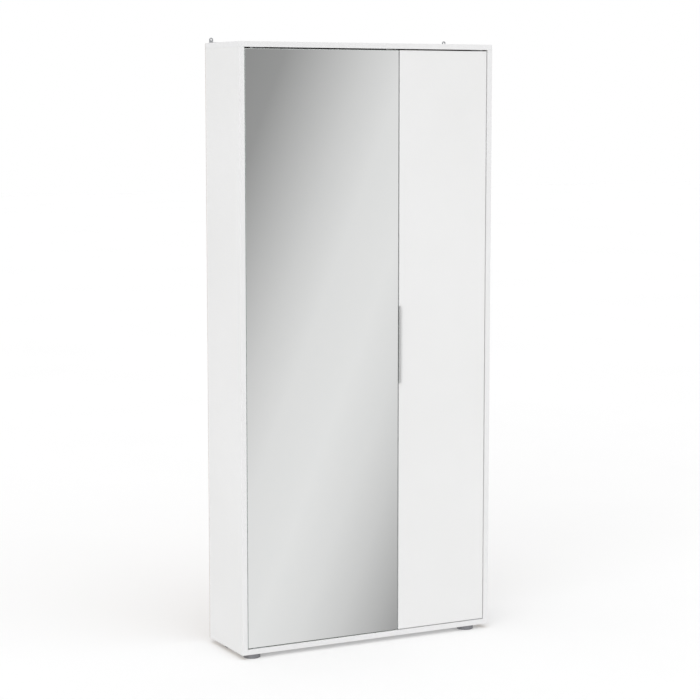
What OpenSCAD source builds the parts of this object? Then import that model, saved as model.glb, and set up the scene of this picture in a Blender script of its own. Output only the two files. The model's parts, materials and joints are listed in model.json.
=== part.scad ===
// Shallow white armoire with a wide mirror door, a narrow plain door and shelves behind both.
// The origin is on the floor under the middle of the cabinet; the doors face -Y.

/* [Cabinet] */
// Width across the top panel
cabinet_w = 838; // [690:1:1050]
// Depth from the front edges of the sides to the back panels
cabinet_d = 244; // [200:1:420]
// Height from the floor to the upper face of the top panel
cabinet_h = 1800; // [1500:1:2300]
// Thickness of the carcass, shelf and door boards
board_t = 16; // [15:0.2:20]
// Thickness of the hardboard back panels
back_t = 3; // [2.5:0.1:5]
// Strip that each back panel stays in from the edges of the carcass
back_margin = 1; // [0.5:0.1:3]

/* [Doors] */
// Width of the mirror door
mirror_door_w = 501; // [410:1:600]
// Thickness of the mirror glass
mirror_t = 3; // [2.5:0.1:4]
// Strip of the door board that the mirror glass leaves free all round
mirror_margin = 1; // [0.5:0.1:3]
// Gap between the doors and the sides
side_gap = 2; // [1.5:0.1:3.5]
// What the corner of a swinging door leaves of that gap
corner_clear = 0.25; // [0.2:0.05:0.5]
// Gap under the doors
bottom_gap = 2; // [1.9:0.1:4]
// Gap over the doors
top_gap = 4; // [2.5:0.1:5]
// Gap between the two doors
centre_gap = 2.6; // [2.4:0.1:6]
// Distance that the door faces lie behind the front edges of the sides
door_recess = 3; // [0:0.5:5]

/* [Pull] */
// Length of the aluminium edge pull
pull_l = 232; // [120:1:400]
// Distance that the pull stands out from the plain door
pull_reach = 6; // [5.5:0.5:12]
// Wall thickness of the pull
pull_wall = 1.2; // [1:0.1:1.6]
// Width of the gripping lip over the plain door
pull_lip = 3.8; // [2:0.1:8]
// Width of the leg behind the plain door
pull_leg = 18; // [14:0.5:24]

/* [Interior] */
// Gap between the shelves and the hinged edge of an open door
shelf_front_gap = 1; // [0.5:0.5:20]
// Distance from the front edges of the sides to the partition
partition_setback = 28; // [27:1:34]
// Clearance at each end of a loose shelf
shelf_clear = 1; // [0.5:0.1:1.5]
// Gap between a loose shelf and the back panels
shelf_back_gap = 2; // [1:0.5:5]
// Distance of the shelf pins from the shelf's front edge and from the back of the carcass
pin_inset = 37; // [30:1:45]
// Spacing of the holes for the shelf pins
hole_pitch = 32; // [25:1:40]

/* [Feet and brackets] */
// Height of the round feet
foot_h = 13; // [10:0.5:25]
// Diameter of the round feet
foot_d = 50; // [40:1:60]
// Distance of the left feet from the left end
left_foot_inset = 40; // [30:1:70]
// Distance of the right feet from the right end
right_foot_inset = 68; // [30:1:80]
// Distance of the front feet from the front
front_foot_inset = 25; // [25:1:45]
// Distance of the back feet from the back of the carcass
back_foot_inset = 81; // [40:1:100]
// Height that the wall brackets stand up above the top panel
bracket_rise = 16; // [14:0.5:30]
// Width of a wall bracket
bracket_w = 12; // [11:0.5:20]
// Distance of the left bracket from the left end
left_bracket_inset = 20; // [15:1:60]
// Distance of the right bracket from the right end
right_bracket_inset = 29; // [15:1:60]

/* [Hidden] */
$fn = 64;

white = [0.93, 0.93, 0.93];
glass_blue = [0.72, 0.78, 0.82];
steel = [0.72, 0.72, 0.74];
zinc = [0.78, 0.78, 0.80];
foot_grey = [0.48, 0.48, 0.50];
nylon = [0.86, 0.86, 0.84];
ferrite = [0.12, 0.12, 0.13];
beech = [0.80, 0.65, 0.45];
overlap = 1; // how far cutters run past a face

// Fasteners: [radius, length, head radius, head height]
panel_screw = [1.75, 13, 3.2, 1.6];
foot_screw = [2, 18, 3.8, 2];
catch_screw = [1.6, 20, 3, 1.5];
pull_screw = [1.5, 13, 2.8, 1.4];
strike_screw = [1.5, 13, 2.7, 1.2];
nail_r = 0.8;
nail_l = 20;
nail_head_r = 1.8;
nail_head_h = 0.5;
nail_pitch = 210;
nail_corner = 60;

// Dowels and cam fittings
dowel_r = 4;
dowel_l = 30;
dowel_in_face = 10.5;
dowel_end_gap = 0.5;
cam_r = 7.5;
cam_below = 4.5; // how far a cam runs past the middle of its board
cam_h = board_t / 2 + cam_below;
cam_reach = 34;
cam_slot_w = 1.6;
cam_slot_h = 2;
bolt_thread_r = 3;
bolt_thread_l = 11;
bolt_shank_r = 2.2;
bolt_head_r = 3.4;
bolt_head_l = 3;
bolt_bore_r = 4;
cam_front_inset = 28;
cam_back_inset = 40;
dowel_offset = 32;

// Shelf pins
pin_r = 2.5;
pin_depth = 7;
pin_rest_r = 3.5;
pin_rest_l = 8;

// Pivots
pivot_r = 2.95;
bush_bore_r = 3;
bush_r = 4.5;
bush_l = 12;
bush_flange_r = 6;
bush_flange_h = 0.6;
pivot_plate_t = 1.2;
pivot_plate_w = 16;
pivot_plate_tail = 38;
pivot_plate_nose = 8;
plate_screws_from_pivot = [14, 30];
pin_in_bush = 10;

// Catches and strike plates
catch_w = 24;
catch_h = 14;
catch_l = 30;
catch_edge = 10;
catch_screw_x = -4;
catch_screw_y = [10, 22];
catch_head_sink = 7;
magnet_w = 7;
magnet_h = 8;
magnet_l = 20;
magnet_x = 7;
magnet_proud = 0.5;
catch_play = 0.2;
strike_t = 1.2;
strike_w = 34;
strike_h = 10;
strike_screw_x = 12;
strike_drop = 1;

// Brackets and feet
bracket_t = 2;
bracket_leg = 34;
bracket_hole_r = 2.5;
bracket_hole_drop = 6;
bracket_screws_from_back = [12, 26];
foot_sink_r = 7;
foot_sink_h = 5;
foot_edge_r = 1.5;
pull_screw_pitch = 90;

// Carcass planes, from the left end, the front edges of the sides and the floor
carcass_d = cabinet_d - back_t;
x_left = -cabinet_w / 2;
y_front = (pull_reach - door_recess - cabinet_d) / 2;
z_base = foot_h;
z_floor = foot_h + board_t;
z_ceil = cabinet_h - board_t;
inner_h = z_ceil - z_floor;

// Doors
door_z0 = z_floor + bottom_gap;
door_z1 = z_ceil - top_gap;
door_h = door_z1 - door_z0;
mirror_x0 = board_t + side_gap;
mirror_x1 = mirror_x0 + mirror_door_w;
plain_x0 = mirror_x1 + centre_gap;
plain_x1 = cabinet_w - board_t - side_gap;
mirror_back = door_recess + mirror_t + board_t;
plain_back = door_recess + board_t;

// Pivots: halfway through each door, and so far from its edge that the corners clear the side
swing = side_gap - corner_clear;
function pivot_inset(door_t) = (pow(door_t / 2, 2) - pow(swing, 2)) / (2 * swing);
mirror_inset = pivot_inset(mirror_t + board_t);
mirror_pivot = [mirror_x0 + mirror_inset, door_recess + (mirror_t + board_t) / 2];
plain_pivot = [plain_x1 - pivot_inset(board_t), door_recess + board_t / 2];
shelf_setback = mirror_pivot[1] + mirror_inset + swing + shelf_front_gap;

// Partition behind the gap between the doors
partition_mid = (mirror_x1 + plain_x0) / 2;
partition_x0 = partition_mid - board_t / 2;
partition_x1 = partition_mid + board_t / 2;

// Shelves: the undersides, counted from the bottom
left_bays = 6;
right_bays = 5;
left_fixed = 3;
right_fixed = 2;
left_bay_h = (inner_h - (left_bays - 1) * board_t) / left_bays;
right_bay_h = (inner_h - (right_bays - 1) * board_t) / right_bays;
function left_shelf_z(k) = z_floor + k * left_bay_h + (k - 1) * board_t;
function right_shelf_z(k) = z_floor + k * right_bay_h + (k - 1) * board_t;
left_loose = [for (k = [1 : left_bays - 1]) if (k != left_fixed) k];
right_loose = [for (k = [1 : right_bays - 1]) if (k != right_fixed) k];
pin_ys = [shelf_setback + pin_inset, carcass_d - pin_inset];

// Joints between boards: [x, z, turn about Y, side that the cam opens to]
top_joints = [
    [board_t / 2, z_ceil, 90, 1],
    [cabinet_w - board_t / 2, z_ceil, 90, -1],
    [partition_mid, z_ceil, 90, 1]
];
bottom_joints = [
    [board_t, z_base + board_t / 2, 0, -1],
    [cabinet_w - board_t, z_base + board_t / 2, 180, 1],
    [partition_mid, z_floor, -90, -1]
];
left_fixed_z = left_shelf_z(left_fixed) + board_t / 2;
right_fixed_z = right_shelf_z(right_fixed) + board_t / 2;
left_shelf_joints = [[board_t, left_fixed_z, 0, -1], [partition_x0, left_fixed_z, 180, 1]];
right_shelf_joints = [
    [partition_x1, right_fixed_z, 0, -1],
    [cabinet_w - board_t, right_fixed_z, 180, 1]
];
all_joints = concat(top_joints, bottom_joints, left_shelf_joints, right_shelf_joints);
cam_ys = [shelf_setback + cam_front_inset, carcass_d - cam_back_inset];
dowel_ys = [cam_ys[0] + dowel_offset, cam_ys[1] - dowel_offset];

// Feet and brackets, from the left end and the front
feet_x = [left_foot_inset, cabinet_w - right_foot_inset];
feet_y = [front_foot_inset, carcass_d - back_foot_inset];
brackets_x = [left_bracket_inset, cabinet_w - right_bracket_inset];
catch_x = mirror_x1 - catch_edge - catch_w / 2;
plain_catch_z = right_shelf_z(right_fixed + 1) + board_t + right_bay_h / 2;
plain_catch_x = partition_x1;

// Moves children to the front bottom left corner of the carcass
module from_corner() {
    translate([x_left, y_front, 0])
        children();
}

// A board between two corners
module board(low, high) {
    from_corner()
        translate(low)
            cube(high - low);
}

// A countersunk screw or its hole, pointing down with the head's flat on Z = 0
module screw(kind) {
    rotate_extrude()
        polygon([
            [0, 0], [kind[2], 0], [kind[0], -kind[3]],
            [kind[0], -kind[1]], [0, -kind[1]]
        ]);
}

// Places children at each fitting of each joint: +X runs into the board that holds the cam,
// and +Z looks out of the face that the cam opens to
module at_joints(joints, ys) {
    from_corner()
        for (j = joints, y = ys)
            translate([j[0], y, j[1]])
                rotate([0, j[2], 0])
                    rotate([j[3] > 0 ? 0 : 180, 0, 0])
                        children();
}

// A rod along X between two distances from the joint face
module rod_x(radius, from, to) {
    translate([from, 0, 0])
        rotate([0, 90, 0])
            cylinder(h = to - from, r = radius);
}

module cam_bores(joints) {
    at_joints(joints, cam_ys) {
        rod_x(bolt_thread_r, -bolt_thread_l, 0);
        rod_x(bolt_bore_r, 0, cam_reach);
        translate([cam_reach, 0, board_t / 2 - cam_h])
            cylinder(h = cam_h + overlap, r = cam_r);
    }
}

module dowel_bores(joints) {
    at_joints(joints, dowel_ys)
        rod_x(dowel_r, -dowel_in_face - dowel_end_gap, dowel_l - dowel_in_face + dowel_end_gap);
}

module joint_bores(joints) {
    cam_bores(joints);
    dowel_bores(joints);
}

// Rows of three holes at each loose shelf; side is 1 for a wall that faces +X
module pin_bores(wall_x, side, undersides) {
    from_corner()
        for (z = undersides, y = pin_ys, step = [-1 : 1])
            translate([wall_x, y, z - pin_rest_r + step * hole_pitch])
                rotate([0, -90 * side, 0])
                    translate([0, 0, -overlap])
                        cylinder(h = pin_depth + overlap, r = pin_r);
}

// Nail places along the edges of the two back panels: [x, z]
nail_rows = floor((cabinet_h - foot_h - 2 * nail_corner) / nail_pitch);
nail_step = (cabinet_h - foot_h - 2 * nail_corner) / nail_rows;
function nail_cols(x0, x1) = max(1, floor((x1 - x0 - 2 * nail_corner) / nail_pitch));
function edge_nails(x0, x1) = [
    for (i = [0 : nail_cols(x0, x1)], z = [foot_h + board_t / 2, cabinet_h - board_t / 2])
        [x0 + nail_corner + i * (x1 - x0 - 2 * nail_corner) / nail_cols(x0, x1), z]
];
function upright_nails(x) = [for (i = [0 : nail_rows]) [x, foot_h + nail_corner + i * nail_step]];
left_nails = concat(
    upright_nails(board_t / 2), upright_nails(partition_mid - board_t / 4),
    edge_nails(0, partition_mid)
);
right_nails = concat(
    upright_nails(partition_mid + board_t / 4), upright_nails(cabinet_w - board_t / 2),
    edge_nails(partition_mid, cabinet_w)
);

module nail() {
    rotate_extrude($fn = 24)
        polygon([
            [0, 0], [nail_head_r, 0], [nail_head_r, -nail_head_h],
            [nail_r, -nail_head_h], [nail_r, -nail_l], [0, -nail_l]
        ]);
}

module nails(places) {
    from_corner()
        for (p = places)
            translate([p[0], cabinet_d, p[1]])
                rotate([-90, 0, 0])
                    nail();
}

// Screws of a pivot plate, from the pivot along the door
module plate_screw_set(pivot, along, z, up) {
    from_corner()
        for (s = plate_screws_from_pivot)
            translate([pivot[0] + along * s, pivot[1], z])
                rotate([up ? 180 : 0, 0, 0])
                    screw(panel_screw);
}

module all_plate_screws() {
    plate_screw_set(mirror_pivot, 1, z_ceil - pivot_plate_t, true);
    plate_screw_set(plain_pivot, -1, z_ceil - pivot_plate_t, true);
    plate_screw_set(mirror_pivot, 1, z_floor + pivot_plate_t, false);
    plate_screw_set(plain_pivot, -1, z_floor + pivot_plate_t, false);
}

module at_feet(indices_x, indices_y) {
    from_corner()
        for (i = indices_x, j = indices_y)
            translate([feet_x[i], feet_y[j], 0])
                children();
}

module all_foot_screws() {
    at_feet([0, 1], [0, 1])
        translate([0, 0, foot_sink_h])
            rotate([180, 0, 0])
                screw(foot_screw);
}

module all_bracket_screws() {
    from_corner()
        for (x = brackets_x, s = bracket_screws_from_back)
            translate([x, cabinet_d - s, cabinet_h + bracket_t])
                screw(panel_screw);
}

// Catch frames: the mounting face is Z = 0, the magnet looks to -Y
module at_mirror_catch() {
    from_corner()
        translate([catch_x, mirror_back + strike_t + catch_play + magnet_proud, z_ceil])
            children();
}

module at_plain_catch() {
    from_corner()
        translate([plain_catch_x, plain_back + strike_t + catch_play + magnet_proud, plain_catch_z])
            rotate([0, -90, 0])
                children();
}

module catch_screw_set() {
    for (y = catch_screw_y)
        translate([catch_screw_x, y, catch_head_sink - catch_h])
            rotate([180, 0, 0])
                screw(catch_screw);
}

// ---- Carcass boards ----

module left_side() {
    color(white)
        difference() {
            board([0, 0, z_base], [board_t, carcass_d, z_ceil]);
            joint_bores([top_joints[0], bottom_joints[0], left_shelf_joints[0]]);
            pin_bores(board_t, 1, [for (k = left_loose) left_shelf_z(k)]);
            nails(left_nails);
        }
}

module right_side() {
    color(white)
        difference() {
            board([cabinet_w - board_t, 0, z_base], [cabinet_w, carcass_d, z_ceil]);
            joint_bores([top_joints[1], bottom_joints[1], right_shelf_joints[1]]);
            pin_bores(cabinet_w - board_t, -1, [for (k = right_loose) right_shelf_z(k)]);
            nails(right_nails);
        }
}

module top_panel() {
    color(white)
        difference() {
            board([0, 0, z_ceil], [cabinet_w, carcass_d, cabinet_h]);
            joint_bores(top_joints);
            all_plate_screws();
            all_bracket_screws();
            nails(concat(left_nails, right_nails));
            at_mirror_catch()
                catch_screw_set();
        }
}

module bottom_panel() {
    color(white)
        difference() {
            board([board_t, 0, z_base], [cabinet_w - board_t, carcass_d, z_floor]);
            joint_bores(bottom_joints);
            all_plate_screws();
            all_foot_screws();
            nails(concat(left_nails, right_nails));
        }
}

module partition() {
    color(white)
        difference() {
            board([partition_x0, partition_setback, z_floor], [partition_x1, carcass_d, z_ceil]);
            joint_bores([
                top_joints[2], bottom_joints[2],
                left_shelf_joints[1], right_shelf_joints[0]
            ]);
            pin_bores(partition_x0, -1, [for (k = left_loose) left_shelf_z(k)]);
            pin_bores(partition_x1, 1, [for (k = right_loose) right_shelf_z(k)]);
            nails(concat(left_nails, right_nails));
            at_plain_catch()
                catch_screw_set();
        }
}

module back_panel(x0, x1, places) {
    color(white)
        difference() {
            board([x0, carcass_d, z_base + back_margin], [x1, cabinet_d, cabinet_h - back_margin]);
            nails(places);
        }
}

module left_back_panel() {
    back_panel(back_margin, partition_mid - back_margin / 2, left_nails);
}

module right_back_panel() {
    back_panel(partition_mid + back_margin / 2, cabinet_w - back_margin, right_nails);
}

// ---- Shelves ----

module left_fixed_shelf() {
    z = left_shelf_z(left_fixed);
    color(white)
        difference() {
            board([board_t, shelf_setback, z], [partition_x0, carcass_d, z + board_t]);
            joint_bores(left_shelf_joints);
        }
}

module right_fixed_shelf() {
    z = right_shelf_z(right_fixed);
    color(white)
        difference() {
            board([partition_x1, shelf_setback, z], [cabinet_w - board_t, carcass_d, z + board_t]);
            joint_bores(right_shelf_joints);
        }
}

module loose_shelf(x0, x1, z) {
    color(white)
        board(
            [x0 + shelf_clear, shelf_setback, z],
            [x1 - shelf_clear, carcass_d - shelf_back_gap, z + board_t]
        );
}

module left_shelf(i) {
    loose_shelf(board_t, partition_x0, left_shelf_z(left_loose[i]));
}

module right_shelf(i) {
    loose_shelf(partition_x1, cabinet_w - board_t, right_shelf_z(right_loose[i]));
}

// Four pins for each shelf, in holes in the two walls x0 and x1
module shelf_pins(x0, x1, undersides) {
    color(zinc)
        from_corner()
            for (z = undersides, y = pin_ys, wall = [[x0, 1], [x1, -1]])
                translate([wall[0], y, z - pin_rest_r])
                    rotate([0, 90 * wall[1], 0])
                        rotate_extrude($fn = 32)
                            polygon([
                                [0, -pin_depth], [pin_r, -pin_depth], [pin_r, 0],
                                [pin_rest_r, 0], [pin_rest_r, pin_rest_l], [0, pin_rest_l]
                            ]);
}

module left_shelf_pins() {
    shelf_pins(board_t, partition_x0, [for (k = left_loose) left_shelf_z(k)]);
}

module right_shelf_pins() {
    shelf_pins(partition_x1, cabinet_w - board_t, [for (k = right_loose) right_shelf_z(k)]);
}

// ---- Fittings that hold the boards together ----

module dowels() {
    color(beech)
        at_joints(all_joints, dowel_ys)
            rod_x(dowel_r, -dowel_in_face, dowel_l - dowel_in_face);
}

module cam_bolts() {
    color(zinc)
        at_joints(all_joints, cam_ys) {
            rod_x(bolt_thread_r, -bolt_thread_l, 0);
            rod_x(bolt_shank_r, 0, cam_reach - bolt_head_l);
            rod_x(bolt_head_r, cam_reach - bolt_head_l, cam_reach);
        }
}

module cam_locks() {
    color(zinc)
        at_joints(all_joints, cam_ys)
            difference() {
                translate([cam_reach, 0, board_t / 2 - cam_h])
                    cylinder(h = cam_h, r = cam_r);
                rod_x(bolt_bore_r, cam_reach - cam_r - overlap, cam_reach + overlap);
                translate([cam_reach - cam_r - overlap, -cam_slot_w / 2, board_t / 2 - cam_slot_h])
                    cube([2 * (cam_r + overlap), cam_slot_w, cam_slot_h + overlap]);
            }
}

module back_nails() {
    color(steel)
        nails(concat(left_nails, right_nails));
}

// ---- Feet ----

module foot(i, j) {
    color(foot_grey)
        difference() {
            at_feet([i], [j])
                rotate_extrude()
                    difference() {
                        union() {
                            square([foot_d / 2 - foot_edge_r, foot_h]);
                            translate([0, foot_edge_r])
                                square([foot_d / 2, foot_h - foot_edge_r]);
                            translate([foot_d / 2 - foot_edge_r, foot_edge_r])
                                circle(r = foot_edge_r);
                        }
                        translate([0, -overlap])
                            square([foot_sink_r, foot_sink_h + overlap]);
                    }
            all_foot_screws();
        }
}

module front_left_foot() {
    foot(0, 0);
}

module front_right_foot() {
    foot(1, 0);
}

module back_left_foot() {
    foot(0, 1);
}

module back_right_foot() {
    foot(1, 1);
}

module foot_screws() {
    color(zinc)
        all_foot_screws();
}

// ---- Wall brackets ----

module wall_bracket(x) {
    hole_z = cabinet_h + bracket_rise - bracket_hole_drop;
    color(zinc)
        difference() {
            from_corner()
                translate([x, cabinet_d, 0]) {
                    translate([-bracket_w / 2, -bracket_leg, cabinet_h])
                        cube([bracket_w, bracket_leg, bracket_t]);
                    translate([-bracket_w / 2, -bracket_t, cabinet_h])
                        cube([bracket_w, bracket_t, bracket_rise - bracket_w / 2]);
                    translate([0, 0, cabinet_h + bracket_rise - bracket_w / 2])
                        rotate([90, 0, 0])
                            cylinder(h = bracket_t, r = bracket_w / 2);
                }
            from_corner()
                translate([x, cabinet_d + overlap, hole_z])
                    rotate([90, 0, 0])
                        cylinder(h = bracket_t + 2 * overlap, r = bracket_hole_r);
            all_bracket_screws();
        }
}

module left_wall_bracket() {
    wall_bracket(brackets_x[0]);
}

module right_wall_bracket() {
    wall_bracket(brackets_x[1]);
}

module bracket_screws() {
    color(zinc)
        all_bracket_screws();
}

// ---- Pivots of the doors ----

// A plate on the carcass; along is 1 where the door runs to +X from its pivot
module pivot_plate(pivot, along, z) {
    color(steel)
        difference() {
            from_corner()
                translate([pivot[0], pivot[1] - pivot_plate_w / 2, z])
                    translate([along > 0 ? -pivot_plate_nose : -pivot_plate_tail, 0, 0])
                        cube([pivot_plate_nose + pivot_plate_tail, pivot_plate_w, pivot_plate_t]);
            from_corner()
                translate([pivot[0], pivot[1], z - overlap])
                    cylinder(h = pivot_plate_t + 2 * overlap, r = pivot_r);
            all_plate_screws();
        }
}

module mirror_top_pivot_plate() {
    pivot_plate(mirror_pivot, 1, z_ceil - pivot_plate_t);
}

module mirror_bottom_pivot_plate() {
    pivot_plate(mirror_pivot, 1, z_floor);
}

module plain_top_pivot_plate() {
    pivot_plate(plain_pivot, -1, z_ceil - pivot_plate_t);
}

module plain_bottom_pivot_plate() {
    pivot_plate(plain_pivot, -1, z_floor);
}

// A pin riveted in its plate; it ends inside the bush of the door
module pivot_pin(pivot, z0, z1) {
    color(steel)
        from_corner()
            translate([pivot[0], pivot[1], z0])
                cylinder(h = z1 - z0, r = pivot_r);
}

module mirror_top_pin() {
    pivot_pin(mirror_pivot, door_z1 - pin_in_bush, z_ceil);
}

module mirror_bottom_pin() {
    pivot_pin(mirror_pivot, z_floor, door_z0 + pin_in_bush);
}

module plain_top_pin() {
    pivot_pin(plain_pivot, door_z1 - pin_in_bush, z_ceil);
}

module plain_bottom_pin() {
    pivot_pin(plain_pivot, z_floor, door_z0 + pin_in_bush);
}

module pivot_plate_screws() {
    color(zinc)
        all_plate_screws();
}

// A flanged nylon bush in the edge of a door; up is true at the top edge
module bush(pivot, z, up) {
    color(nylon)
        from_corner()
            translate([pivot[0], pivot[1], z])
                rotate([up ? 0 : 180, 0, 0])
                    rotate_extrude()
                        polygon([
                            [bush_bore_r, -bush_l], [bush_r, -bush_l], [bush_r, 0],
                            [bush_flange_r, 0], [bush_flange_r, bush_flange_h],
                            [bush_bore_r, bush_flange_h]
                        ]);
}

module bush_bore(pivot, z, up) {
    from_corner()
        translate([pivot[0], pivot[1], z])
            rotate([up ? 180 : 0, 0, 0])
                translate([0, 0, -overlap])
                    cylinder(h = bush_l + overlap, r = bush_r);
}

module mirror_top_bush() {
    bush(mirror_pivot, door_z1, true);
}

module mirror_bottom_bush() {
    bush(mirror_pivot, door_z0, false);
}

module plain_top_bush() {
    bush(plain_pivot, door_z1, true);
}

module plain_bottom_bush() {
    bush(plain_pivot, door_z0, false);
}

// ---- Magnetic catches ----

module catch_body() {
    color(white)
        difference() {
            translate([-catch_w / 2, 0, -catch_h])
                cube([catch_w, catch_l, catch_h]);
            translate([magnet_x - magnet_w / 2, -overlap, -catch_h / 2 - magnet_h / 2])
                cube([magnet_w, magnet_l + overlap, magnet_h]);
            translate([catch_screw_x, 0, -catch_h - overlap])
                for (y = catch_screw_y)
                    translate([0, y, 0])
                        cylinder(h = catch_head_sink + overlap, r = catch_screw[2]);
            catch_screw_set();
        }
}

module magnet() {
    color(ferrite)
        translate([magnet_x - magnet_w / 2, -magnet_proud, -catch_h / 2 - magnet_h / 2])
            cube([magnet_w, magnet_l + magnet_proud, magnet_h]);
}

module mirror_catch() {
    at_mirror_catch()
        catch_body();
}

module mirror_catch_magnet() {
    at_mirror_catch()
        magnet();
}

module plain_catch() {
    at_plain_catch()
        catch_body();
}

module plain_catch_magnet() {
    at_plain_catch()
        magnet();
}

module catch_screws() {
    color(zinc) {
        at_mirror_catch()
            catch_screw_set();
        at_plain_catch()
            catch_screw_set();
    }
}

// ---- Strike plates: the plate lies in the XZ plane, its screws point to -Y ----

module strike_screw_set() {
    for (side = [-1, 1])
        translate([side * strike_screw_x, strike_t, 0])
            rotate([-90, 0, 0])
                screw(strike_screw);
}

module strike_plate() {
    color(steel)
        difference() {
            translate([-strike_w / 2, 0, -strike_h / 2])
                cube([strike_w, strike_t, strike_h]);
            strike_screw_set();
        }
}

module at_mirror_strike() {
    from_corner()
        translate([catch_x, mirror_back, door_z1 - strike_drop - strike_h / 2])
            children();
}

module at_plain_strike() {
    from_corner()
        translate([plain_catch_x + catch_h / 2, plain_back, plain_catch_z])
            rotate([0, 90, 0])
                children();
}

module mirror_strike() {
    at_mirror_strike()
        strike_plate();
}

module mirror_strike_screws() {
    color(zinc)
        at_mirror_strike()
            strike_screw_set();
}

module plain_strike() {
    at_plain_strike()
        strike_plate();
}

module plain_strike_screws() {
    color(zinc)
        at_plain_strike()
            strike_screw_set();
}

// ---- Mirror door ----

module mirror_door_board() {
    color(white)
        difference() {
            board([mirror_x0, door_recess + mirror_t, door_z0], [mirror_x1, mirror_back, door_z1]);
            bush_bore(mirror_pivot, door_z1, true);
            bush_bore(mirror_pivot, door_z0, false);
            at_mirror_strike()
                strike_screw_set();
        }
}

module mirror_glass() {
    color(glass_blue)
        board(
            [mirror_x0 + mirror_margin, door_recess, door_z0 + mirror_margin],
            [mirror_x1 - mirror_margin, door_recess + mirror_t, door_z1 - mirror_margin]
        );
}

// ---- Plain door ----

module at_pull_screws() {
    from_corner()
        for (step = [-1 : 1])
            translate([
                plain_x0 + pull_leg / 2, plain_back + pull_wall,
                door_z0 + door_h / 2 + step * pull_screw_pitch
            ])
                rotate([-90, 0, 0])
                    screw(pull_screw);
}

module plain_door_board() {
    color(white)
        difference() {
            board([plain_x0, door_recess, door_z0], [plain_x1, plain_back, door_z1]);
            bush_bore(plain_pivot, door_z1, true);
            bush_bore(plain_pivot, door_z0, false);
            at_pull_screws();
            at_plain_strike()
                strike_screw_set();
        }
}

// An extruded lip, web and leg that wrap the free edge of the plain door
module edge_pull() {
    front = door_recess - pull_reach;
    color(zinc)
        difference() {
            from_corner()
                translate([plain_x0 - pull_wall, 0, door_z0 + (door_h - pull_l) / 2])
                    linear_extrude(height = pull_l) {
                        translate([0, front])
                            square([pull_wall, plain_back + pull_wall - front]);
                        translate([0, front])
                            square([pull_wall + pull_lip, pull_wall]);
                        translate([0, plain_back])
                            square([pull_wall + pull_leg, pull_wall]);
                    }
            at_pull_screws();
        }
}

module pull_screws() {
    color(zinc)
        at_pull_screws();
}

left_side();
right_side();
top_panel();
bottom_panel();
partition();
left_back_panel();
right_back_panel();
left_fixed_shelf();
right_fixed_shelf();
left_shelf(0);  // left_shelf_1
left_shelf(1);  // left_shelf_2
left_shelf(2);  // left_shelf_3
left_shelf(3);  // left_shelf_4
right_shelf(0);  // right_shelf_1
right_shelf(1);  // right_shelf_2
right_shelf(2);  // right_shelf_3
left_shelf_pins();
right_shelf_pins();
dowels();
cam_locks();
cam_bolts();
back_nails();
front_left_foot();
front_right_foot();
back_left_foot();
back_right_foot();
foot_screws();
left_wall_bracket();
right_wall_bracket();
bracket_screws();
mirror_top_pivot_plate();
mirror_bottom_pivot_plate();
plain_top_pivot_plate();
plain_bottom_pivot_plate();
mirror_top_pin();
mirror_bottom_pin();
plain_top_pin();
plain_bottom_pin();
pivot_plate_screws();
mirror_catch();
mirror_catch_magnet();
plain_catch();
plain_catch_magnet();
catch_screws();
mirror_door_board();
mirror_glass();
edge_pull();
pull_screws();
mirror_strike();
mirror_strike_screws();
mirror_top_bush();
mirror_bottom_bush();
plain_door_board();
plain_strike();
plain_strike_screws();
plain_top_bush();
plain_bottom_bush();
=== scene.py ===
# A tall shallow white armoire: a wide mirror door, a narrow plain door and shelves behind both.
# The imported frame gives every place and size. Each section makes one piece or one group of like
# pieces, in the order in which the cabinet is put together. Lengths are in metres.
import json
import math

import bmesh
import bpy
from mathutils import Matrix, Vector


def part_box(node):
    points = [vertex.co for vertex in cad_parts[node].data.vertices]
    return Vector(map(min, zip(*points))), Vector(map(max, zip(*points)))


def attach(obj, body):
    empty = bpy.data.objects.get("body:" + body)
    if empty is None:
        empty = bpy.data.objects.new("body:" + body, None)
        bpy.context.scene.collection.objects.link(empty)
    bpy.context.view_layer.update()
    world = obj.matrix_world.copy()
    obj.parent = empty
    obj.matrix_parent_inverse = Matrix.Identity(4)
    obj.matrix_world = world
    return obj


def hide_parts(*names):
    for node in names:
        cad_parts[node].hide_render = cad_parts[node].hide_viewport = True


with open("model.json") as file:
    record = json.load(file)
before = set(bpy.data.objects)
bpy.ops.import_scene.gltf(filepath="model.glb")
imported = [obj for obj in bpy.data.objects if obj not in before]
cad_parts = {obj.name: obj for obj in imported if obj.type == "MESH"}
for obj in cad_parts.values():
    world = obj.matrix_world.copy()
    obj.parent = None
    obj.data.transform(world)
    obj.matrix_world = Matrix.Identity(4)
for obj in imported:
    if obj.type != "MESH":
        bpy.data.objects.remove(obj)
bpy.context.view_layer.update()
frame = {"nodes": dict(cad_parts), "record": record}

# ---- Carcass boards ----
# Chipboard under a white melamine foil, sawn and drilled on a line. A thin plastic band is glued
# to the edges that show, and its corners are eased; the other edges stay raw. Dowels and cam
# fittings hold the two sides, the top, the bottom and the partition together.

EASE = 0.0005        # radius of the eased corners of a board
TOUCH = 0.00002      # points nearer than this are one point
FLAT_FROM = 0.0001   # a face of more square metres than this is a flat one
SMOOTH_UP_TO = 35    # degrees between faces that are shaded as one
GRAIN_LOW, GRAIN_HIGH = 0.3, 0.7          # the part of a grain's range that the tones span
WIDTHWAYS, DEPTHWAYS, UPRIGHT = 0, 1, 2
FRONT_EDGE = {(DEPTHWAYS, -1)}
BOTH_ENDS = {(WIDTHWAYS, -1), (WIDTHWAYS, 1)}
TOP_AND_BOTTOM = {(UPRIGHT, -1), (UPRIGHT, 1)}
BODY_OF = {
    node: body
    for body, nodes in frame["record"]["behaviour"]["bodies"].items()
    for node in nodes
}


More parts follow.
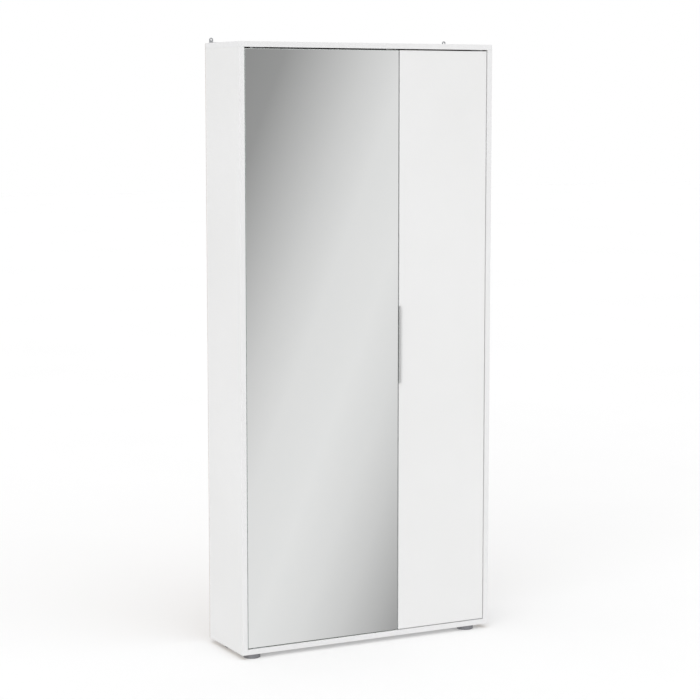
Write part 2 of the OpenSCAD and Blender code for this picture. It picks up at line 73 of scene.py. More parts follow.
def add_node(tree, kind, **settings):
    """Adds a shader node; a setting with a socket's name, _ for each space, is set or linked."""
    made = tree.nodes.new("ShaderNode" + kind)
    for name, value in settings.items():
        socket = made.inputs.get(name.replace("_", " "))
        if socket is None:
            setattr(made, name, value)
        elif isinstance(value, bpy.types.NodeSocket):
            tree.links.new(value, socket)
        else:
            socket.default_value = value
    return made


def reckon(tree, operation, *values):
    """The output of a Math node that works on numbers or sockets."""
    made = tree.nodes.new("ShaderNodeMath")
    made.operation = operation
    for socket, value in zip(made.inputs, values):
        if isinstance(value, bpy.types.NodeSocket):
            tree.links.new(value, socket)
        else:
            socket.default_value = value
    return made.outputs[0]


def ramp(tree, factor, *stops):
    """The colour output of a ramp; a stop is (position, (red, green, blue))."""
    made = add_node(tree, "ValToRGB", Fac=factor)
    elements = made.color_ramp.elements
    for element, (position, colour) in zip(elements, (stops[0], stops[-1])):
        element.position = position
        element.color = (*colour, 1)
    for position, colour in stops[1:-1]:
        elements.new(position).color = (*colour, 1)
    return made.outputs["Color"]


def grain(tree, per_metre, stretch=(1, 1, 1), detail=3, cells=False):
    """Noise or cells of a given fineness on Object coordinates; stretch packs it along an axis."""
    place = add_node(tree, "TexCoord").outputs["Object"]
    place = add_node(tree, "Mapping", Vector=place, Scale=stretch).outputs["Vector"]
    if cells:
        made = add_node(tree, "TexVoronoi", Vector=place, Scale=per_metre)
        return add_node(tree, "SeparateColor", Color=made.outputs["Color"]).outputs["Red"]
    return add_node(tree, "TexNoise", Vector=place, Scale=per_metre, Detail=detail).outputs[0]


def finish(name, tones, rough, fine, relief, slow=3, share=0.5, **constants):
    """A material whose tone and roughness drift with a fine grain and a slow one.

    tones and rough are (lowest, highest); fine holds the settings of the fine grain, relief is
    the depth of its bumps, slow is the slow grain's fineness and share its part in the tone.
    """
    material = bpy.data.materials.new(name)
    material.use_nodes = True
    tree = material.node_tree
    shader = tree.nodes["Principled BSDF"]
    small = grain(tree, **fine)
    wide = grain(tree, slow)
    mixed = reckon(tree, "MULTIPLY_ADD", wide, share, reckon(tree, "MULTIPLY", small, 1 - share))
    colour = ramp(tree, mixed, (GRAIN_LOW, tones[0]), (GRAIN_HIGH, tones[1]))
    tree.links.new(colour, shader.inputs["Base Color"])
    worn = add_node(tree, "MapRange", Value=mixed, From_Min=GRAIN_LOW, From_Max=GRAIN_HIGH,
                    To_Min=rough[0], To_Max=rough[1])
    tree.links.new(worn.outputs["Result"], shader.inputs["Roughness"])
    bump = add_node(tree, "Bump", Height=small, Strength=1.0, Distance=relief)
    tree.links.new(bump.outputs["Normal"], shader.inputs["Normal"])
    for socket, value in constants.items():
        shader.inputs[socket.replace("_", " ")].default_value = value
    return material


melamine = finish(
    "white_melamine", ((0.77, 0.77, 0.765), (0.81, 0.81, 0.81)), (0.36, 0.48),
    dict(per_metre=1500, detail=4), 0.00002, slow=2.2, share=0.7, Specular_IOR_Level=0.45)
edge_band = finish(
    "white_edge_band", ((0.76, 0.76, 0.76), (0.80, 0.80, 0.805)), (0.30, 0.40),
    dict(per_metre=500, stretch=(1, 6, 0.05)), 0.00001, slow=6, share=0.5)
raw_chipboard = finish(
    "raw_chipboard", ((0.20, 0.12, 0.06), (0.62, 0.47, 0.30)), (0.8, 0.95),
    dict(per_metre=650, cells=True), 0.00015, slow=40, share=0.2)


def start_edit(piece):
    """Goes into edit mode on one piece with nothing selected."""
    bpy.ops.object.select_all(action="DESELECT")
    piece.select_set(True)
    bpy.context.view_layer.objects.active = piece
    bpy.ops.object.mode_set(mode="EDIT")
    bpy.ops.mesh.select_all(action="DESELECT")


def pick(piece, kind, wanted):
    """Selects the VERT, EDGE or FACE elements for which wanted(element) holds, and only those."""
    bpy.ops.mesh.select_mode(type=kind)
    bpy.ops.mesh.select_all(action="DESELECT")
    mesh = bmesh.from_edit_mesh(piece.data)
    elements = {"VERT": mesh.verts, "EDGE": mesh.edges, "FACE": mesh.faces}[kind]
    chosen = [element for element in elements if wanted(element)]
    for element in chosen:
        element.select_set(True)
    bmesh.update_edit_mesh(piece.data)


def copy_of(node, ending):
    """A copy of a CAD node with its corners merged and its flat faces whole, in edit mode."""
    piece = bpy.data.objects.new(node + ending, frame["nodes"][node].data.copy())
    bpy.context.collection.objects.link(piece)
    piece.data.materials.clear()
    start_edit(piece)
    bpy.ops.mesh.select_all(action="SELECT")
    bpy.ops.mesh.remove_doubles(threshold=TOUCH)
    bpy.ops.mesh.dissolve_limited(angle_limit=math.radians(1))
    bpy.ops.mesh.customdata_custom_splitnormals_clear()
    return piece


def smooth(piece):
    """Shades a piece smooth up to an angle, its large faces flat, and leaves it unselected."""
    bpy.ops.object.select_all(action="DESELECT")
    piece.select_set(True)
    bpy.context.view_layer.objects.active = piece
    bpy.ops.object.shade_smooth_by_angle(angle=math.radians(SMOOTH_UP_TO))
    for polygon in piece.data.polygons:
        if polygon.area > FLAT_FROM:
            polygon.use_smooth = False
    piece.select_set(False)


def planes_at(points, low, high, reach=TOUCH):
    """The planes of a box that all the points lie on, each as (axis, side)."""
    return {
        (axis, side)
        for axis in range(3)
        for side, corner in ((-1, low), (1, high))
        if all(abs(point[axis] - corner[axis]) < reach for point in points)
    }


def fit(piece, node):
    """The piece stands for a CAD node, whose part it hides, and moves with its body."""
    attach(piece, BODY_OF[node])
    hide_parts(node)


def board(node, banded):
    """A drilled board with eased corners, foil on its faces and a band on the edges named."""
    low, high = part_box(node)
    piece = copy_of(node, "_board")
    pick(piece, "EDGE", lambda e: len(planes_at([v.co for v in e.verts], low, high)) > 1)
    bpy.ops.mesh.bevel(offset=EASE, segments=2, affect="EDGES")
    thickness = min(range(3), key=lambda axis: high[axis] - low[axis])
    for material in (melamine, edge_band, raw_chipboard):
        piece.data.materials.append(material)
    for face in bmesh.from_edit_mesh(piece.data).faces:
        points = [vertex.co for vertex in face.verts]
        flat_on = planes_at(points, low, high)
        near = planes_at(points, low, high, EASE + TOUCH)
        if any(axis == thickness for axis, side in flat_on):
            face.material_index = 0
        elif near & banded:
            face.material_index = 1
        elif flat_on or len(near) < 2:
            face.material_index = 2
    bpy.ops.object.mode_set(mode="OBJECT")
    smooth(piece)
    fit(piece, node)


board("left_side", FRONT_EDGE)
board("right_side", FRONT_EDGE)
board("top_panel", FRONT_EDGE | BOTH_ENDS)
board("bottom_panel", FRONT_EDGE)
board("partition", FRONT_EDGE)

# ---- Shelves ----
# The same chipboard with a band on the front edge. One shelf in each compartment is fixed with
# cams and dowels and ties the uprights; the others lie loose on pins.

for node in sorted(BODY_OF):
    if "_shelf" in node and not node.endswith("pins"):
        board(node, FRONT_EDGE)

# ---- Shelf pins ----
# Turned steel pins, zinc plated, pushed into the rows of holes in the uprights: a plain stem with
# a chamfered tip, a collar that stops at the wall and a rounded head that the shelf lies on.

PIN_SIDES = 20
RIM_SHARE = 0.98     # points this far out, of the widest, are on the rim
zinc_plate = finish(
    "bright_zinc_plate", ((0.56, 0.57, 0.60), (0.74, 0.75, 0.77)), (0.22, 0.38),
    dict(per_metre=900, detail=2), 0.00001, slow=60, share=0.5, Metallic=1.0)


def turned(name, material, sides, rings, bored=False):
    """A turned piece on the Z axis from rings of (radius, height); a bored one closes on itself."""
    bpy.ops.object.select_all(action="DESELECT")
    bpy.ops.mesh.primitive_circle_add(
        vertices=sides, radius=rings[0][0], location=(0, 0, rings[0][1]),
        fill_type="NOTHING" if bored else "NGON")
    piece = bpy.context.object
    piece.name = name
    bpy.ops.object.transform_apply(location=True)
    bpy.ops.object.mode_set(mode="EDIT")
    bpy.ops.mesh.select_mode(type="VERT")
    bpy.ops.mesh.select_all(action="SELECT")
    route = rings + rings[:1] if bored else rings
    for (radius, height), (next_radius, next_height) in zip(route, route[1:]):
        rise = (0, 0, next_height - height)
        bpy.ops.mesh.extrude_region_move(TRANSFORM_OT_translate={"value": rise})
        grow = next_radius / radius
        bpy.ops.transform.resize(value=(grow, grow, 1), center_override=(0, 0, next_height))
    bpy.ops.mesh.select_all(action="SELECT")
    bpy.ops.mesh.remove_doubles(threshold=TOUCH / 4)
    bpy.ops.mesh.normals_make_consistent(inside=False)
    bpy.ops.object.mode_set(mode="OBJECT")
    piece.data.materials.append(material)
    smooth(piece)
    return piece


def solids(node):
    """The points of each separate solid of a CAD node, in the order of the node's mesh."""
    mesh = bmesh.new()
    mesh.from_mesh(frame["nodes"][node].data)
    bmesh.ops.remove_doubles(mesh, verts=mesh.verts, dist=TOUCH)
    mesh.verts.ensure_lookup_table()
    mesh.verts.index_update()
    seen = set()
    groups = []
    for vertex in mesh.verts:
        if vertex.index in seen:
            continue
        seen.add(vertex.index)
        group = [vertex]
        for member in group:
            for edge in member.link_edges:
                other = edge.other_vert(member)
                if other.index not in seen:
                    seen.add(other.index)
                    group.append(other)
        groups.append([member.co.copy() for member in group])
    mesh.free()
    return groups


def seat(points):
    """The matrix that puts a turned piece, its wide end at Z = 0, where a CAD solid is."""
    low = Vector([min(p[axis] for p in points) for axis in range(3)])
    high = Vector([max(p[axis] for p in points) for axis in range(3)])
    middle = (low + high) / 2
    size = high - low
    along = max(range(3), key=lambda axis: abs(3 * size[axis] - sum(size)))
    others = [axis for axis in range(3) if axis != along]
    reach = [math.hypot(*(p[axis] - middle[axis] for axis in others)) for p in points]
    rim = [p[along] for p, r in zip(points, reach) if r > RIM_SHARE * max(reach)]
    side = -1 if sum(rim) / len(rim) < middle[along] - TOUCH else 1
    outward = Vector((0, 0, 0))
    outward[along] = side
    end = middle + outward * size[along] / 2
    turn = Vector((0, 0, 1)).rotation_difference(outward)
    return Matrix.Translation(end) @ turn.to_matrix().to_4x4()


def seat_copies(master, node, ending):
    """Copies a turned piece to each solid of a CAD node; the joined copies stand for the node."""
    copies = []
    for points in solids(node):
        copy = bpy.data.objects.new(node + ending, master.data.copy())
        copy.data.transform(seat(points))
        bpy.context.collection.objects.link(copy)
        copies.append(copy)
    bpy.ops.object.select_all(action="DESELECT")
    for copy in copies:
        copy.select_set(True)
    bpy.context.view_layer.objects.active = copies[0]
    if len(copies) > 1:
        bpy.ops.object.join()
    copies[0].select_set(False)
    fit(copies[0], node)


shelf_pin = turned("shelf_pin", zinc_plate, PIN_SIDES, [
    (0.0016, -0.015), (0.0025, -0.0138), (0.0025, -0.0086), (0.0023, -0.0084), (0.0023, -0.0081),
    (0.0034, -0.008), (0.0035, -0.0078), (0.0035, -0.0068), (0.0033, -0.0066), (0.0033, -0.006),
    (0.0035, -0.0058), (0.0035, -0.001), (0.0031, -0.0003), (0.0022, 0),
])
seat_copies(shelf_pin, "left_shelf_pins", "_turned")
seat_copies(shelf_pin, "right_shelf_pins", "_turned")
bpy.data.objects.remove(shelf_pin)

# ---- Dowels ----
# Beech dowels, 8 mm thick and 30 mm long, with pressed flutes that let the glue and the air out
# and chamfered ends. They sit in both boards of a joint, beside the cam fittings.

DOWEL_SIDES = 32
FLUTE_DEPTH = 0.93
beech = finish(
    "beech_wood", ((0.50, 0.33, 0.18), (0.70, 0.51, 0.32)), (0.6, 0.75),
    dict(per_metre=700, stretch=(0.12, 1, 1)), 0.00005, slow=90, share=0.4)
dowel = turned("dowel", beech, DOWEL_SIDES, [
    (0.0031, -0.030), (0.004, -0.0288), (0.004, -0.0012), (0.0031, 0),
])
start_edit(dowel)
step = 2 * math.pi / DOWEL_SIDES
pick(dowel, "VERT", lambda v: round(math.atan2(v.co.y, v.co.x) / step) % 2 == 1)
bpy.ops.transform.resize(value=(FLUTE_DEPTH, FLUTE_DEPTH, 1), center_override=(0, 0, 0))
bpy.ops.object.mode_set(mode="OBJECT")
seat_copies(dowel, "dowels", "_fluted")
bpy.data.objects.remove(dowel)

# ---- Cam bolts and cam locks ----
# The bolt screws into the face of one board and its neck reaches into the edge of the next. The
# die-cast cam there grips the neck when it is turned with a screwdriver, and draws the joint shut.

BOLT_SIDES = 20
CAM_EASE = 0.0003
SHARP_FROM = 40      # degrees between the faces of an edge that is eased
ROOT_END, CREST_START, CREST_END = 0.15, 0.5, 0.6      # places within one turn of a thread


def thread(radius, root, start, end, pitch):
    """Rings of a screw thread between two heights, from the lower one up."""
    turns = int((end - start) / pitch)
    rings = []
    for turn_count in range(turns):
        height = start + turn_count * pitch
        rings.append((root, height + ROOT_END * pitch))
        rings.append((radius, height + CREST_START * pitch))
        rings.append((radius, height + CREST_END * pitch))
    rings.append((root, start + turns * pitch))
    return rings


cam_bolt = turned("cam_bolt", zinc_plate, BOLT_SIDES, [
    (0.0015, -0.045),
    *thread(0.003, 0.0022, -0.0446, -0.035, 0.0016),
    (0.003, -0.0345), (0.003, -0.034), (0.0022, -0.0338), (0.0022, -0.0062), (0.0019, -0.0058),
    (0.0019, -0.0036), (0.0033, -0.003), (0.0034, -0.0024), (0.0034, -0.001), (0.0024, 0),
])
seat_copies(cam_bolt, "cam_bolts", "_turned")
bpy.data.objects.remove(cam_bolt)

die_cast = finish(
    "die_cast_zinc", ((0.42, 0.43, 0.45), (0.58, 0.59, 0.61)), (0.38, 0.55),
    dict(per_metre=1800, detail=3), 0.00003, slow=80, share=0.3, Metallic=1.0)


def is_sharp(edge):
    """True for an edge where two faces meet at a clear angle."""
    return edge.is_manifold and edge.calc_face_angle() > math.radians(SHARP_FROM)


def eased(node, ending, radius, material, corners=None, corner_radius=0.0):
    """A copy of a CAD node with its sharp edges eased; corners picks edges that get a larger one."""
    piece = copy_of(node, ending)
    if corners:
        pick(piece, "EDGE", corners)
        bpy.ops.mesh.bevel(offset=corner_radius, segments=5, affect="EDGES")
    pick(piece, "EDGE", is_sharp)
    bpy.ops.mesh.bevel(offset=radius, segments=2, affect="EDGES", clamp_overlap=True)
    bpy.ops.object.mode_set(mode="OBJECT")
    piece.data.materials.append(material)
    smooth(piece)
    fit(piece, node)
    return piece


eased("cam_locks", "_cast", CAM_EASE, die_cast)

# ---- Back panels and their nails ----
# Two sheets of 3 mm hardboard: white lacquer on the face inside the cabinet, raw brown fibre on
# the wall side with the print of the pressing screen. Flat-headed nails hold them to the boards.

SHEET_EASE = 0.0003
NAIL_SIDES = 12
lacquer = finish(
    "white_lacquer", ((0.76, 0.76, 0.75), (0.82, 0.82, 0.81)), (0.5, 0.62),
    dict(per_metre=700, detail=4), 0.00003, slow=3, share=0.6)
raw_hardboard = finish(
    "raw_hardboard", ((0.20, 0.115, 0.058), (0.36, 0.225, 0.125)), (0.72, 0.88),
    dict(per_metre=420, detail=6), 0.0002, slow=7, share=0.45)


def add_screen_print(material, pitch, depth):
    """Adds the crossed ridges that the pressing screen leaves to the relief of a material."""
    tree = material.node_tree
    shader = tree.nodes["Principled BSDF"]
    place = add_node(tree, "TexCoord").outputs["Object"]
    waves = [
        add_node(tree, "TexWave", Vector=place, bands_direction=axis, Scale=math.pi / 10 / pitch,
                 Distortion=0.6, Detail=1.0).outputs["Fac"]
        for axis in ("X", "Z")
    ]
    below = shader.inputs["Normal"].links[0].from_socket
    bump = add_node(tree, "Bump", Height=reckon(tree, "MULTIPLY", *waves), Distance=depth, Normal=below)
    tree.links.new(bump.outputs["Normal"], shader.inputs["Normal"])


add_screen_print(raw_hardboard, 0.0018, 0.0003)
for node in ("left_back_panel", "right_back_panel"):
    sheet = eased(node, "_sheet", SHEET_EASE, raw_hardboard)
    sheet.data.materials.append(lacquer)
    for polygon in sheet.data.polygons:
        if polygon.normal.y < -0.9:
            polygon.material_index = 1
nail = turned("nail", zinc_plate, NAIL_SIDES, [
    (0.0003, -0.020), (0.0008, -0.0185), (0.0008, -0.0007), (0.0018, -0.0005),
    (0.0018, -0.0002), (0.0015, 0),
])
seat_copies(nail, "back_nails", "_turned")
bpy.data.objects.remove(nail)

# ---- Feet and their screws ----
# Low round feet moulded in grey plastic, each held by one screw in a sunk hole. The rolled lower
# edge, the ring under the foot and the fine parting line at its top come from the mould.

FOOT_SIDES = 64
foot_plastic = finish(
    "grey_foot_plastic", ((0.165, 0.165, 0.18), (0.235, 0.235, 0.25)), (0.48, 0.62),
    dict(per_metre=1600, detail=3), 0.00006, slow=50, share=0.35)
foot_low, foot_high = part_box("front_left_foot")
foot_r = (foot_high.x - foot_low.x) / 2
foot_h = foot_high.z - foot_low.z
SINK_R, SINK_H = 0.007, 0.005
SCREW_HOLE_R = 0.002
EDGE_R = 0.0015
rolled_edge = [
    (foot_r - EDGE_R + EDGE_R * math.sin(a), EDGE_R - EDGE_R * math.cos(a))
    for a in (math.radians(d) for d in (0, 22.5, 45, 67.5, 90))
]
foot = turned("foot", foot_plastic, FOOT_SIDES, [
    (SCREW_HOLE_R, SINK_H), (SINK_R, SINK_H), (SINK_R, 0.0006), (SINK_R + 0.0006, 0),
    (0.0150, 0), (0.0154, 0.0008), (0.0206, 0.0008), (0.0210, 0),
    *rolled_edge,
    (foot_r, foot_h - 0.0034), (foot_r - 0.0003, foot_h - 0.0032), (foot_r - 0.0003, foot_h - 0.003),
    (foot_r, foot_h - 0.0028), (foot_r, foot_h - 0.0005), (foot_r - 0.0005, foot_h),
    (SCREW_HOLE_R, foot_h),
], bored=True)
for node in ("front_left_foot", "front_right_foot", "back_left_foot", "back_right_foot"):
    low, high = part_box(node)
    piece = bpy.data.objects.new(node + "_moulded", foot.data.copy())
    bpy.context.collection.objects.link(piece)
    piece.data.transform(Matrix.Translation(((low.x + high.x) / 2, (low.y + high.y) / 2, low.z)))
    fit(piece, node)
bpy.data.objects.remove(foot)


def cut_cross(piece, reach, width, depth):
    """Cuts a cross recess for a screwdriver into the flat end at Z = 0."""
    for size in ((reach, width, depth), (width, reach, depth)):
        bpy.ops.object.select_all(action="DESELECT")
        bpy.ops.mesh.primitive_cube_add(size=1, scale=size)
        blade = bpy.context.object
        bpy.ops.object.transform_apply(scale=True)
        bpy.ops.object.mode_set(mode="EDIT")
        pick(blade, "FACE", lambda f: f.normal.z < -0.5)
        bpy.ops.transform.resize(value=(0.6, 0.6, 1), center_override=(0, 0, 0))
        bpy.ops.mesh.select_all(action="DESELECT")
        bpy.ops.object.mode_set(mode="OBJECT")
        blade.select_set(False)
        piece.select_set(True)
        bpy.context.view_layer.objects.active = piece
        cut = piece.modifiers.new("cross", "BOOLEAN")
        cut.operation = "DIFFERENCE"
        cut.solver = "EXACT"
        cut.object = blade
        bpy.ops.object.modifier_apply(modifier=cut.name)
        bpy.data.objects.remove(blade)
    smooth(piece)


def countersunk(name, radius, length, head_r, head_h, sides=18):
    """A countersunk chipboard screw that points down, its head's flat at Z = 0."""
    screw = turned(name, zinc_plate, sides, [
        (0.1 * radius, -length),
        *thread(radius, 0.68 * radius, -length + 0.0005, -head_h - 0.0008, 0.8 * radius),
        (0.8 * radius, -head_h - 0.0002), (radius, -head_h), (head_r, -0.0002), (0.95 * head_r, 0),
    ])
    cut_cross(screw, 1.15 * head_r, 0.26 * head_r, 1.4 * head_h)
    return screw


foot_screw = countersunk("foot_screw", 0.002, 0.018, 0.0038, 0.002)
seat_copies(foot_screw, "foot_screws", "_cross")
bpy.data.objects.remove(foot_screw)

# ---- Wall brackets and their screws ----
# Narrow strips of 2 mm zinc-plated steel, bent upright behind the top panel, with a rounded tip
# and a hole for the wall screw. Two screws hold the leg of each on the top panel.

STRIP_T = 0.002
STRIP_EASE = 0.00025
OUTER_BEND, INNER_BEND = 0.0024, 0.0006
galvanised = finish(
    "galvanised_steel", ((0.40, 0.41, 0.43), (0.62, 0.63, 0.65)), (0.30, 0.48),
    dict(per_metre=420, cells=True), 0.00002, slow=120, share=0.35, Metallic=1.0)


def along_x(edge):
    """True for an edge that runs across the cabinet."""
    first, second = (vertex.co for vertex in edge.verts)
    return abs(first.x - second.x) > 0.9 * (first - second).length


for node in ("left_wall_bracket", "right_wall_bracket"):
    low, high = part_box(node)
    bracket = copy_of(node, "_bent")
    for corner_y, corner_z, bend in ((high.y, low.z, OUTER_BEND),
                                     (high.y - STRIP_T, low.z + STRIP_T, INNER_BEND)):
        pick(bracket, "EDGE", lambda e: along_x(e)
             and all(abs(v.co.y - corner_y) < TOUCH and abs(v.co.z - corner_z) < TOUCH for v in e.verts))
        bpy.ops.mesh.bevel(offset=bend, segments=5, affect="EDGES")
    pick(bracket, "EDGE", is_sharp)
    bpy.ops.mesh.bevel(offset=STRIP_EASE, segments=2, affect="EDGES", clamp_overlap=True)
    bpy.ops.object.mode_set(mode="OBJECT")
    bracket.data.materials.append(galvanised)
    smooth(bracket)
    fit(bracket, node)
panel_screw = countersunk("panel_screw", 0.00175, 0.013, 0.0032, 0.0016)
seat_copies(panel_screw, "bracket_screws", "_cross")

# ---- Pivot hardware of the doors ----
# Steel plates screwed under the top panel and on the bottom one, each with a riveted pin. The pins
# turn in flanged nylon bushes that are pressed into the ends of the doors.

PLATE_EASE = 0.0003
PLATE_CORNER = 0.003
BUSH_SIDES = 48
PIVOT_SIDES = 32
pressed_steel = finish(
    "zinc_plated_steel", ((0.50, 0.51, 0.53), (0.68, 0.69, 0.71)), (0.26, 0.42),
    dict(per_metre=700, stretch=(0.2, 1, 1)), 0.00002, slow=50, share=0.5, Metallic=1.0)
nylon = finish(
    "natural_nylon", ((0.72, 0.72, 0.68), (0.82, 0.82, 0.79)), (0.34, 0.46),
    dict(per_metre=900, detail=2), 0.00003, slow=90, share=0.4)
bush = turned("bush", nylon, BUSH_SIDES, [
    (0.003, -0.0126), (0.0042, -0.0126), (0.0045, -0.0122), (0.0045, -0.0006), (0.0059, -0.0006),
    (0.006, -0.0005), (0.006, -0.0001), (0.0059, 0), (0.0033, 0), (0.003, -0.0003),
], bored=True)


def is_corner(node, first, second):
    """A test for the four edges of a plate where its sides along two axes meet."""
    low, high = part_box(node)
    corners = [{(first, a), (second, b)} for a in (-1, 1) for b in (-1, 1)]
    return lambda edge: planes_at([v.co for v in edge.verts], low, high) in corners


for door in ("mirror", "plain"):
    for end in ("top", "bottom"):
        plate = door + "_" + end + "_pivot_plate"
        eased(plate, "_pressed", PLATE_EASE, pressed_steel, corner_radius=PLATE_CORNER,
              corners=is_corner(plate, WIDTHWAYS, DEPTHWAYS))
        pin = door + "_" + end + "_pin"
        pin_low, pin_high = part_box(pin)
        pin_l = pin_high.z - pin_low.z
        pivot_pin = turned("pivot_pin", pressed_steel, PIVOT_SIDES, [
            (0.0021, -pin_l), (0.0028, 0.0006 - pin_l), (0.00295, 0.0012 - pin_l), (0.00295, -0.0012),
            (0.0028, -0.0006), (0.0021, 0),
        ])
        seat_copies(pivot_pin, pin, "_turned")
        bpy.data.objects.remove(pivot_pin)
        seat_copies(bush, door + "_" + end + "_bush", "_flanged")
bpy.data.objects.remove(bush)
seat_copies(panel_screw, "pivot_plate_screws", "_cross")
bpy.data.objects.remove(panel_screw)

# ---- Magnetic catches ----
# White moulded housings, one under the top panel and one on the partition. Each holds a ferrite
# magnet between two steel pole plates, which stand a little proud and meet the strike plate.

CATCH_EASE = 0.0006
MAGNET_EASE = 0.00015
POLE_T = 0.0011
POLE_STEP = 0.0003
catch_plastic = finish(
    "white_catch_plastic", ((0.76, 0.76, 0.75), (0.84, 0.84, 0.83)), (0.26, 0.36),
    dict(per_metre=1300, detail=2), 0.00002, slow=60, share=0.4)
ferrite = finish(
    "sintered_ferrite", ((0.022, 0.022, 0.025), (0.055, 0.055, 0.06)), (0.5, 0.7),
    dict(per_metre=2500, detail=3), 0.00005, slow=200, share=0.3)
for door in ("mirror", "plain"):
    eased(door + "_catch", "_moulded", CATCH_EASE, catch_plastic)
    node = door + "_catch_magnet"
    low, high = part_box(node)
    across = min(range(3), key=lambda axis: high[axis] - low[axis])
    magnet = copy_of(node, "_block")
    middle = (low + high) / 2
    direction = Vector((0, 0, 0))
    direction[across] = 1
    seams = (low[across] + POLE_T, high[across] - POLE_T)
    for seam in seams:
        point = middle.copy()
        point[across] = seam
        bpy.ops.mesh.select_all(action="SELECT")
        bpy.ops.mesh.bisect(plane_co=point, plane_no=direction)
    pick(magnet, "FACE", lambda f: f.normal.y < -0.9
         and seams[0] < f.calc_center_median()[across] < seams[1])
    bpy.ops.mesh.extrude_region_move(TRANSFORM_OT_translate={"value": (0, POLE_STEP, 0)})
    pick(magnet, "EDGE", lambda e: len(planes_at([v.co for v in e.verts], low, high)) > 1)
    bpy.ops.mesh.bevel(offset=MAGNET_EASE, segments=1, affect="EDGES")
    magnet.data.materials.append(ferrite)
    magnet.data.materials.append(pressed_steel)
    for face in bmesh.from_edit_mesh(magnet.data).faces:
        place = face.calc_center_median()[across]
        face.material_index = 0 if seams[0] - TOUCH < place < seams[1] + TOUCH else 1
    bpy.ops.object.mode_set(mode="OBJECT")
    fit(magnet, node)
catch_screw = countersunk("catch_screw", 0.0016, 0.020, 0.003, 0.0015)
seat_copies(catch_screw, "catch_screws", "_cross")
bpy.data.objects.remove(catch_screw)

# ---- Strike plates ----
# Thin steel plates, screwed to the back of each door where it meets the magnet.

STRIKE_EASE = 0.0002
STRIKE_CORNER = 0.002
strike_screw = countersunk("strike_screw", 0.0015, 0.013, 0.0027, 0.0012)
for door in ("mirror", "plain"):
    node = door + "_strike"
    eased(node, "_pressed", STRIKE_EASE, pressed_steel, corner_radius=STRIKE_CORNER,
          corners=is_corner(node, WIDTHWAYS, UPRIGHT))
    seat_copies(strike_screw, door + "_strike_screws", "_cross")
bpy.data.objects.remove(strike_screw)

# ---- Door boards ----
# The same chipboard as the carcass, with a band on all four edges and a hole for a bush in each
# end. The mirror is glued to the face of the left one; the right one shows its foil.

ALL_ROUND = BOTH_ENDS | TOP_AND_BOTTOM
board("mirror_door_board", ALL_ROUND)
board("plain_door_board", ALL_ROUND)

# ---- Mirror ----
# A sheet of 3 mm float glass, silvered and painted on the back, with ground and polished edges.
# It covers the face of the left door but for a narrow strip all round.

ARRIS = 0.0007
silvered = finish(
    "silvered_glass", ((0.885, 0.895, 0.89), (0.90, 0.905, 0.90)), (0.006, 0.02),
    dict(per_metre=30, detail=5), 0.0, slow=2, share=0.5, Metallic=1.0)
polished_edge = finish(
    "polished_glass_edge", ((0.46, 0.53, 0.50), (0.62, 0.69, 0.66)), (0.08, 0.16),
    dict(per_metre=300, detail=2), 0.00001, slow=20, share=0.5, Coat_Weight=0.6, Coat_Roughness=0.05)
back_paint = finish(
    "mirror_back_paint", ((0.16, 0.17, 0.18), (0.21, 0.22, 0.23)), (0.6, 0.7),
    dict(per_metre=800, detail=3), 0.00003, slow=15, share=0.5)
low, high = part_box("mirror_glass")
bpy.ops.object.select_all(action="DESELECT")
bpy.ops.mesh.primitive_cube_add(size=1, location=(low + high) / 2, scale=high - low)
mirror = bpy.context.object
mirror.name = "mirror_sheet"
bpy.ops.object.transform_apply(location=True, scale=True)
start_edit(mirror)
bpy.ops.mesh.select_all(action="SELECT")
bpy.ops.mesh.bevel(offset=ARRIS, segments=2, affect="EDGES")
for material in (silvered, polished_edge, back_paint):
    mirror.data.materials.append(material)
for face in bmesh.from_edit_mesh(mirror.data).faces:
    flat_on = planes_at([vertex.co for vertex in face.verts], low, high)
    if (DEPTHWAYS, 1) in flat_on:
        face.material_index = 2
    elif (DEPTHWAYS, -1) not in flat_on:
        face.material_index = 1
bpy.ops.object.mode_set(mode="OBJECT")
fit(mirror, "mirror_glass")

# ---- Edge pull ----
# One length of extruded aluminium, satin anodised, that wraps the free edge of the plain door: a
# lip to grip in front of the door, a web along its edge and a leg screwed to its back.

LIP_ROUND = 0.0004
PULL_EASE = 0.0002
LONG_EDGE = 0.1      # an edge of the profile is longer than this
anodised = finish(
    "satin_anodised_aluminium", ((0.80, 0.80, 0.80), (0.90, 0.90, 0.90)), (0.36, 0.48),
    dict(per_metre=2200, stretch=(1, 1, 0.01), detail=4), 0.00003, slow=14, share=0.3, Metallic=1.0)
pull = copy_of("edge_pull", "_extruded")
pick(pull, "EDGE", lambda e: is_sharp(e) and abs(e.verts[0].co.z - e.verts[1].co.z) > LONG_EDGE)
bpy.ops.mesh.bevel(offset=LIP_ROUND, segments=3, affect="EDGES")
pick(pull, "EDGE", is_sharp)
bpy.ops.mesh.bevel(offset=PULL_EASE, segments=1, affect="EDGES", clamp_overlap=True)
bpy.ops.object.mode_set(mode="OBJECT")
pull.data.materials.append(anodised)
smooth(pull)
fit(pull, "edge_pull")
pull_screw = countersunk("pull_screw", 0.0015, 0.013, 0.0028, 0.0014)
seat_copies(pull_screw, "pull_screws", "_cross")
bpy.data.objects.remove(pull_screw)

# ---- Studio ----
# A plain white floor that glows faintly, under a white sky and two broad lamps. Polished faces
# see soft diagonal bands of grey instead of the sky, as from studio screens.

FLOOR_SPAN = 60
bpy.ops.object.select_all(action="DESELECT")
bpy.ops.mesh.primitive_plane_add(size=FLOOR_SPAN)
floor = bpy.context.object
floor.name = "floor"
floor.visible_glossy = False
floor.data.materials.append(finish(
    "lit_floor", ((0.71, 0.71, 0.71), (0.73, 0.73, 0.73)), (0.85, 0.95),
    dict(per_metre=300, detail=2), 0.00002, slow=1, share=0.5, Specular_IOR_Level=0.0,
    Emission_Color=(1, 1, 1, 1), Emission_Strength=0.2))

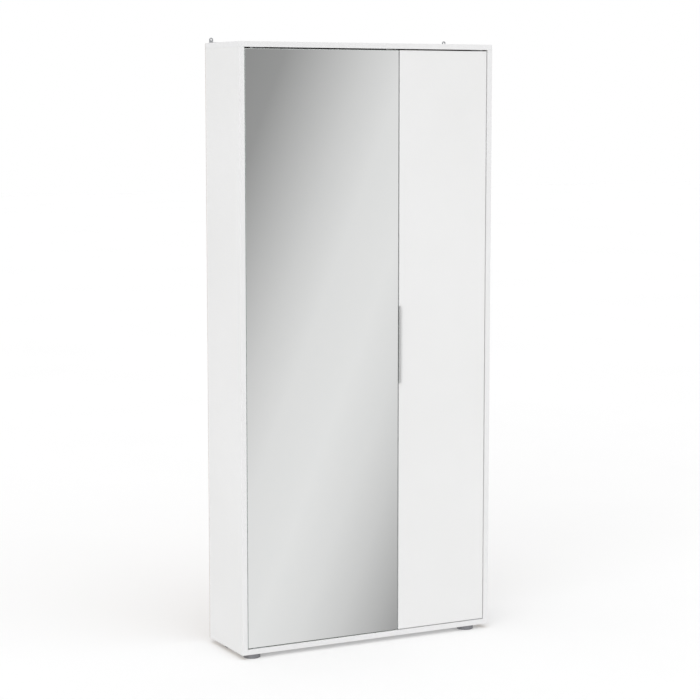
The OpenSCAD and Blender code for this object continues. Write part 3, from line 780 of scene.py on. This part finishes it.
SKY = 0.55           # what lights the cabinet
BACKDROP = 1.0       # what stands behind it
SCREEN_AXIS = (0.868, 0.499, -0.362)      # across the bands, as seen from the cabinet
SCREEN_COUNT = 5.167                      # bands for one unit along that axis
SCREEN_START = 0.519
MIRROR_SHARE = 0.895                      # what silvered glass gives back
BAND = [(0.0, 0.27), (0.09, 0.30), (0.21, 0.475), (0.30, 0.60), (0.405, 0.715), (0.54, 0.753),
        (0.65, 0.690), (0.74, 0.59), (0.83, 0.445), (0.88, 0.347), (0.95, 0.285), (1.0, 0.27)]
world = bpy.data.worlds.new("studio_sky")
bpy.context.scene.world = world
world.use_nodes = True
sky_tree = world.node_tree
ray = add_node(sky_tree, "TexCoord").outputs["Generated"]
across = add_node(sky_tree, "VectorMath", operation="DOT_PRODUCT")
sky_tree.links.new(ray, across.inputs[0])
across.inputs[1].default_value = SCREEN_AXIS
place = reckon(sky_tree, "MULTIPLY_ADD", across.outputs["Value"], SCREEN_COUNT, SCREEN_START)
place = reckon(sky_tree, "WRAP", place, 1.0, 0.0)
screens = ramp(sky_tree, place, *[(at, (tone / MIRROR_SHARE,) * 3) for at, tone in BAND])
path = add_node(sky_tree, "LightPath").outputs
tone = (SKY, SKY, SKY, 1)
for ray_kind, seen in (("Is Glossy Ray", screens), ("Is Camera Ray", (BACKDROP, BACKDROP, BACKDROP, 1))):
    mix = add_node(sky_tree, "Mix", data_type="RGBA")
    sky_tree.links.new(path[ray_kind], mix.inputs["Factor"])
    for socket, value in ((mix.inputs[6], tone), (mix.inputs[7], seen)):
        if isinstance(value, bpy.types.NodeSocket):
            sky_tree.links.new(value, socket)
        else:
            socket.default_value = value
    tone = mix.outputs[2]
sky_tree.links.new(tone, sky_tree.nodes["Background"].inputs["Color"])


def soft_light(name, energy, spread, tilt, turn):
    """A broad, even light from the sky, tilted from straight down and turned about the upright."""
    light = bpy.data.objects.new(name, bpy.data.lights.new(name, "SUN"))
    light.data.energy = energy
    light.data.angle = math.radians(spread)
    light.rotation_euler = (math.radians(tilt), 0, math.radians(turn))
    bpy.context.collection.objects.link(light)


soft_light("overhead_light", energy=1.6, spread=100, tilt=14, turn=-35)
soft_light("front_light", energy=0.8, spread=40, tilt=74, turn=-48)

# ---- Camera ----
# A long lens a little below the top of the cabinet, from the left of the mirror door.

CAMERA_PLACE = (-2.8668, -5.5184, 1.6221)
CAMERA_PITCH = 6.786
CAMERA_TURN = 27.432
CAMERA_LENS = 106.288
SENSOR_WIDTH = 36
camera = bpy.data.objects.new("camera", bpy.data.cameras.new("camera"))
camera.data.sensor_width = SENSOR_WIDTH
camera.data.lens = CAMERA_LENS
camera.location = CAMERA_PLACE
camera.rotation_euler = (math.radians(90 - CAMERA_PITCH), 0, math.radians(-CAMERA_TURN))
bpy.context.collection.objects.link(camera)
bpy.context.scene.camera = camera
bpy.context.scene.view_settings.view_transform = "Standard"
